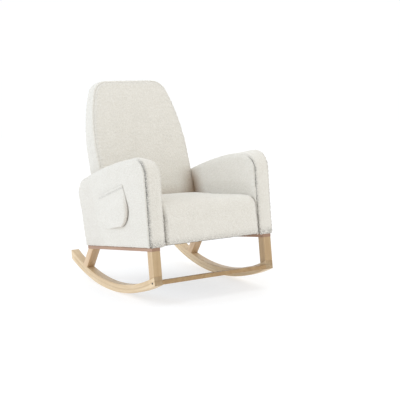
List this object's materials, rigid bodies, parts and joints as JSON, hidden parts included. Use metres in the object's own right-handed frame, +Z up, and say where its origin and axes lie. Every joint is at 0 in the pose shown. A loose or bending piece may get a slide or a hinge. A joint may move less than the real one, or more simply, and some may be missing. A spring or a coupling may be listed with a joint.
{
  "type": "nursery rocking chair",
  "caption": "Upholstered nursery rocking chair in looped cream fabric with a tall raked back, high sloping arms, a side pocket and curved wooden runners.",
  "frame": {"origin": "on the floor at the centre of the chair's box, at its resting lean; the runners touch the floor less than 3 mm from it", "axes": "+Z up, -Y towards the front (the way the sitter faces), +X to the sitter's left"},
  "size_m": [0.74, 0.9012, 1.0396],
  "materials": {
    "runner_wood": "satin lacquered pale laminated wood",
    "leg_wood": "satin lacquered light oak",
    "rail_wood": "satin lacquered light oak",
    "dowel_wood": "plain beech",
    "frame_timber": "rough sawn pine and plywood",
    "hardboard": "smooth hardboard",
    "boucle": "cream boucle with short loops",
    "foam": "open-cell foam and wadding",
    "felt": "needled felt",
    "webbing": "woven elastic webbing",
    "lining": "black non-woven lining",
    "spring_steel": "oiled spring steel",
    "zinc_steel": "zinc-plated steel"
  },
  "bodies": {
    "root": {"arm_pocket": "boucle", "back_bottom_rail": "frame_timber", "back_cover": "boucle", "back_lumbar_rail": "frame_timber", "back_padding": "foam", "back_rear_board": "hardboard", "back_shoulder_rail": "frame_timber", "back_straps": "webbing", "back_to_arm_bolts": "zinc_steel", "back_top_rail": "frame_timber", "crossbar_barrel_nuts": "zinc_steel", "crossbar_bolts": "zinc_steel", "dust_cover": "lining", "front_crossbar": "leg_wood", "left_arm_bottom_rail": "frame_timber", "left_arm_cover": "boucle", "left_arm_front_post": "frame_timber", "left_arm_inner_board": "hardboard", "left_arm_outer_board": "hardboard", "left_arm_padding": "foam", "left_arm_rear_post": "frame_timber", "left_arm_top_rail": "frame_timber", "left_back_stile": "frame_timber", "left_front_leg": "leg_wood", "left_rail": "rail_wood", "left_rear_leg": "leg_wood", "left_runner": "runner_wood", "left_seat_side_rail": "frame_timber", "leg_dowels": "dowel_wood", "rail_bolts": "zinc_steel", "right_arm_bottom_rail": "frame_timber", "right_arm_cover": "boucle", "right_arm_front_post": "frame_timber", "right_arm_inner_board": "hardboard", "right_arm_outer_board": "hardboard", "right_arm_padding": "foam", "right_arm_rear_post": "frame_timber", "right_arm_top_rail": "frame_timber", "right_back_stile": "frame_timber", "right_front_leg": "leg_wood", "right_rail": "rail_wood", "right_rear_leg": "leg_wood", "right_runner": "runner_wood", "right_seat_side_rail": "frame_timber", "seat_corner_blocks": "frame_timber", "seat_cover": "boucle", "seat_felt": "felt", "seat_front_rail": "frame_timber", "seat_padding": "foam", "seat_rear_rail": "frame_timber", "seat_springs": "spring_steel", "seat_to_arm_bolts": "zinc_steel", "spring_clips": "spring_steel", "tee_nuts": "zinc_steel", "threaded_inserts": "zinc_steel", "washers": "zinc_steel"}
  },
  "joints": []
}
